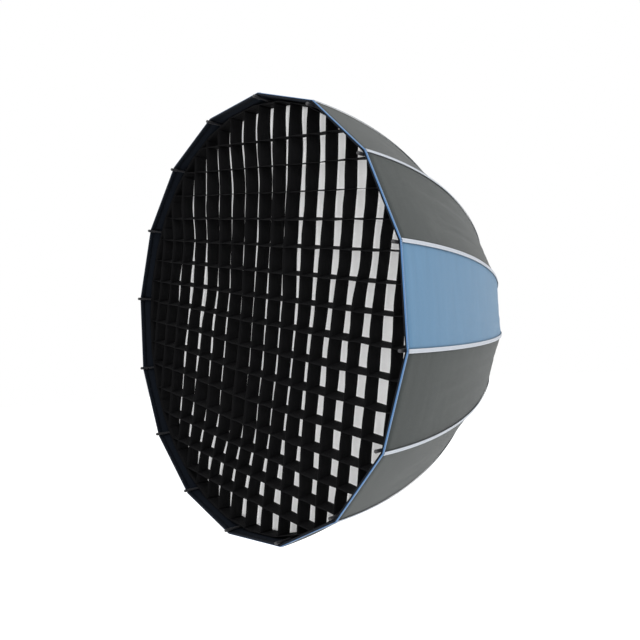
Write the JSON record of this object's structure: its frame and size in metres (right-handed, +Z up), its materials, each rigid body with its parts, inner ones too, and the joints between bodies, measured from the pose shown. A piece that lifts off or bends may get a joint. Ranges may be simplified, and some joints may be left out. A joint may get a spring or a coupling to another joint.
{
  "type": "folding parabolic softbox",
  "caption": "Deep many-sided folding fabric light shade on spring ribs, with a front diffuser, an egg-crate grid and a bayonet insert at the hub.",
  "frame": {"origin": "centre of the bayonet insert's seating face", "axes": "+Y along the optical axis from the shade's mouth towards the lamp, +Z up, +X to the right when looking into the lamp side from the mouth"},
  "size_m": [0.8858, 0.668, 0.8858],
  "materials": {
    "rod_steel": "satin",
    "foot_plastic": "matte",
    "grey_cloth": "matte",
    "blue_cloth": "matte",
    "hub_plastic": "matte",
    "steel": "satin",
    "screw_black": "satin",
    "insert_metal": "satin",
    "white_cloth": "matte",
    "grid_cloth": "matte"
  },
  "bodies": {
    "hub": {"hub_base": "hub_plastic", "hub_cap": "hub_plastic", "hinge_pins": "steel", "hub_screws": "screw_black", "rear_clamp": "hub_plastic", "bayonet_insert": "insert_metal", "insert_screws": "screw_black"},
    "diffuser": {"front_diffuser": "white_cloth", "diffuser_hem": "white_cloth"},
    "grid": {"grid_cells": "grid_cloth", "grid_edge": "grid_cloth"},
    "rib_01": {"rib_foot_01": "foot_plastic", "rib_rod_01": "rod_steel", "gore_01": "blue_cloth"},
    "rib_02": {"rib_foot_02": "foot_plastic", "rib_rod_02": "rod_steel", "gore_02": "grey_cloth"},
    "rib_03": {"rib_foot_03": "foot_plastic", "rib_rod_03": "rod_steel", "gore_03": "grey_cloth"},
    "rib_04": {"rib_foot_04": "foot_plastic", "rib_rod_04": "rod_steel", "gore_04": "grey_cloth"},
    "rib_05": {"rib_foot_05": "foot_plastic", "rib_rod_05": "rod_steel", "gore_05": "grey_cloth"},
    "rib_06": {"rib_foot_06": "foot_plastic", "rib_rod_06": "rod_steel", "gore_06": "grey_cloth"},
    "rib_07": {"rib_foot_07": "foot_plastic", "rib_rod_07": "rod_steel", "gore_07": "grey_cloth"},
    "rib_08": {"rib_foot_08": "foot_plastic", "rib_rod_08": "rod_steel", "gore_08": "grey_cloth"},
    "rib_09": {"rib_foot_09": "foot_plastic", "rib_rod_09": "rod_steel", "gore_09": "grey_cloth"},
    "rib_10": {"rib_foot_10": "foot_plastic", "rib_rod_10": "rod_steel", "gore_10": "grey_cloth"},
    "rib_11": {"rib_foot_11": "foot_plastic", "rib_rod_11": "rod_steel", "gore_11": "grey_cloth"},
    "rib_12": {"rib_foot_12": "foot_plastic", "rib_rod_12": "rod_steel", "gore_12": "grey_cloth"},
    "rib_13": {"rib_foot_13": "foot_plastic", "rib_rod_13": "rod_steel", "gore_13": "grey_cloth"},
    "rib_14": {"rib_foot_14": "foot_plastic", "rib_rod_14": "rod_steel", "gore_14": "grey_cloth"},
    "rib_15": {"rib_foot_15": "foot_plastic", "rib_rod_15": "rod_steel", "gore_15": "grey_cloth"},
    "rib_16": {"rib_foot_16": "foot_plastic", "rib_rod_16": "rod_steel", "gore_16": "grey_cloth"}
  },
  "joints": [
    {"name": "rib_01_fold", "type": "hinge", "parent": "hub", "child": "rib_01", "pos_m": [0.08337, -0.014, 0.01658], "axis": [0.1951, 0, -0.9808], "range_deg": [0, 31], "deforming": ["gore_01", "front_diffuser", "diffuser_hem", "grid_cells", "grid_edge"]},
    {"name": "rib_02_fold", "type": "hinge", "parent": "hub", "child": "rib_02", "pos_m": [0.08337, -0.014, -0.01658], "axis": [-0.1951, 0, -0.9808], "range_deg": [0, 31], "deforming": ["gore_02"]},
    {"name": "rib_03_fold", "type": "hinge", "parent": "hub", "child": "rib_03", "pos_m": [0.07067, -0.014, -0.04722], "axis": [-0.5556, 0, -0.8315], "range_deg": [0, 31], "deforming": ["gore_03"]},
    {"name": "rib_04_fold", "type": "hinge", "parent": "hub", "child": "rib_04", "pos_m": [0.04722, -0.014, -0.07067], "axis": [-0.8315, 0, -0.5556], "range_deg": [0, 31], "deforming": ["gore_04"]},
    {"name": "rib_05_fold", "type": "hinge", "parent": "hub", "child": "rib_05", "pos_m": [0.01658, -0.014, -0.08337], "axis": [-0.9808, 0, -0.1951], "range_deg": [0, 31], "deforming": ["gore_05"]},
    {"name": "rib_06_fold", "type": "hinge", "parent": "hub", "child": "rib_06", "pos_m": [-0.01658, -0.014, -0.08337], "axis": [-0.9808, 0, 0.1951], "range_deg": [0, 31], "deforming": ["gore_06"]},
    {"name": "rib_07_fold", "type": "hinge", "parent": "hub", "child": "rib_07", "pos_m": [-0.04722, -0.014, -0.07067], "axis": [-0.8315, 0, 0.5556], "range_deg": [0, 31], "deforming": ["gore_07"]},
    {"name": "rib_08_fold", "type": "hinge", "parent": "hub", "child": "rib_08", "pos_m": [-0.07067, -0.014, -0.04722], "axis": [-0.5556, 0, 0.8315], "range_deg": [0, 31], "deforming": ["gore_08"]},
    {"name": "rib_09_fold", "type": "hinge", "parent": "hub", "child": "rib_09", "pos_m": [-0.08337, -0.014, -0.01658], "axis": [-0.1951, 0, 0.9808], "range_deg": [0, 31], "deforming": ["gore_09"]},
    {"name": "rib_10_fold", "type": "hinge", "parent": "hub", "child": "rib_10", "pos_m": [-0.08337, -0.014, 0.01658], "axis": [0.1951, 0, 0.9808], "range_deg": [0, 31], "deforming": ["gore_10"]},
    {"name": "rib_11_fold", "type": "hinge", "parent": "hub", "child": "rib_11", "pos_m": [-0.07067, -0.014, 0.04722], "axis": [0.5556, 0, 0.8315], "range_deg": [0, 31], "deforming": ["gore_11"]},
    {"name": "rib_12_fold", "type": "hinge", "parent": "hub", "child": "rib_12", "pos_m": [-0.04722, -0.014, 0.07067], "axis": [0.8315, 0, 0.5556], "range_deg": [0, 31], "deforming": ["gore_12"]},
    {"name": "rib_13_fold", "type": "hinge", "parent": "hub", "child": "rib_13", "pos_m": [-0.01658, -0.014, 0.08337], "axis": [0.9808, 0, 0.1951], "range_deg": [0, 31], "deforming": ["gore_13"]},
    {"name": "rib_14_fold", "type": "hinge", "parent": "hub", "child": "rib_14", "pos_m": [0.01658, -0.014, 0.08337], "axis": [0.9808, 0, -0.1951], "range_deg": [0, 31], "deforming": ["gore_14"]},
    {"name": "rib_15_fold", "type": "hinge", "parent": "hub", "child": "rib_15", "pos_m": [0.04722, -0.014, 0.07067], "axis": [0.8315, 0, -0.5556], "range_deg": [0, 31], "deforming": ["gore_15"]},
    {"name": "rib_16_fold", "type": "hinge", "parent": "hub", "child": "rib_16", "pos_m": [0.07067, -0.014, 0.04722], "axis": [0.5556, 0, -0.8315], "range_deg": [0, 31], "deforming": ["gore_16"]},
    {"name": "grid_lift", "type": "slide", "parent": "hub", "child": "grid", "axis": [0, -1, 0], "range_m": [0, 0.16]},
    {"name": "diffuser_lift", "type": "slide", "parent": "hub", "child": "diffuser", "axis": [0, -1, 0], "range_m": [0, 0.08]}
  ],
  "couplings": [
    {"joint": "rib_02_fold", "follows": "rib_01_fold", "ratio": 1},
    {"joint": "rib_03_fold", "follows": "rib_01_fold", "ratio": 1},
    {"joint": "rib_04_fold", "follows": "rib_01_fold", "ratio": 1},
    {"joint": "rib_05_fold", "follows": "rib_01_fold", "ratio": 1},
    {"joint": "rib_06_fold", "follows": "rib_01_fold", "ratio": 1},
    {"joint": "rib_07_fold", "follows": "rib_01_fold", "ratio": 1},
    {"joint": "rib_08_fold", "follows": "rib_01_fold", "ratio": 1},
    {"joint": "rib_09_fold", "follows": "rib_01_fold", "ratio": 1},
    {"joint": "rib_10_fold", "follows": "rib_01_fold", "ratio": 1},
    {"joint": "rib_11_fold", "follows": "rib_01_fold", "ratio": 1},
    {"joint": "rib_12_fold", "follows": "rib_01_fold", "ratio": 1},
    {"joint": "rib_13_fold", "follows": "rib_01_fold", "ratio": 1},
    {"joint": "rib_14_fold", "follows": "rib_01_fold", "ratio": 1},
    {"joint": "rib_15_fold", "follows": "rib_01_fold", "ratio": 1},
    {"joint": "rib_16_fold", "follows": "rib_01_fold", "ratio": 1},
    {"joint": "diffuser_lift", "follows": "grid_lift", "ratio": 0.5}
  ]
}
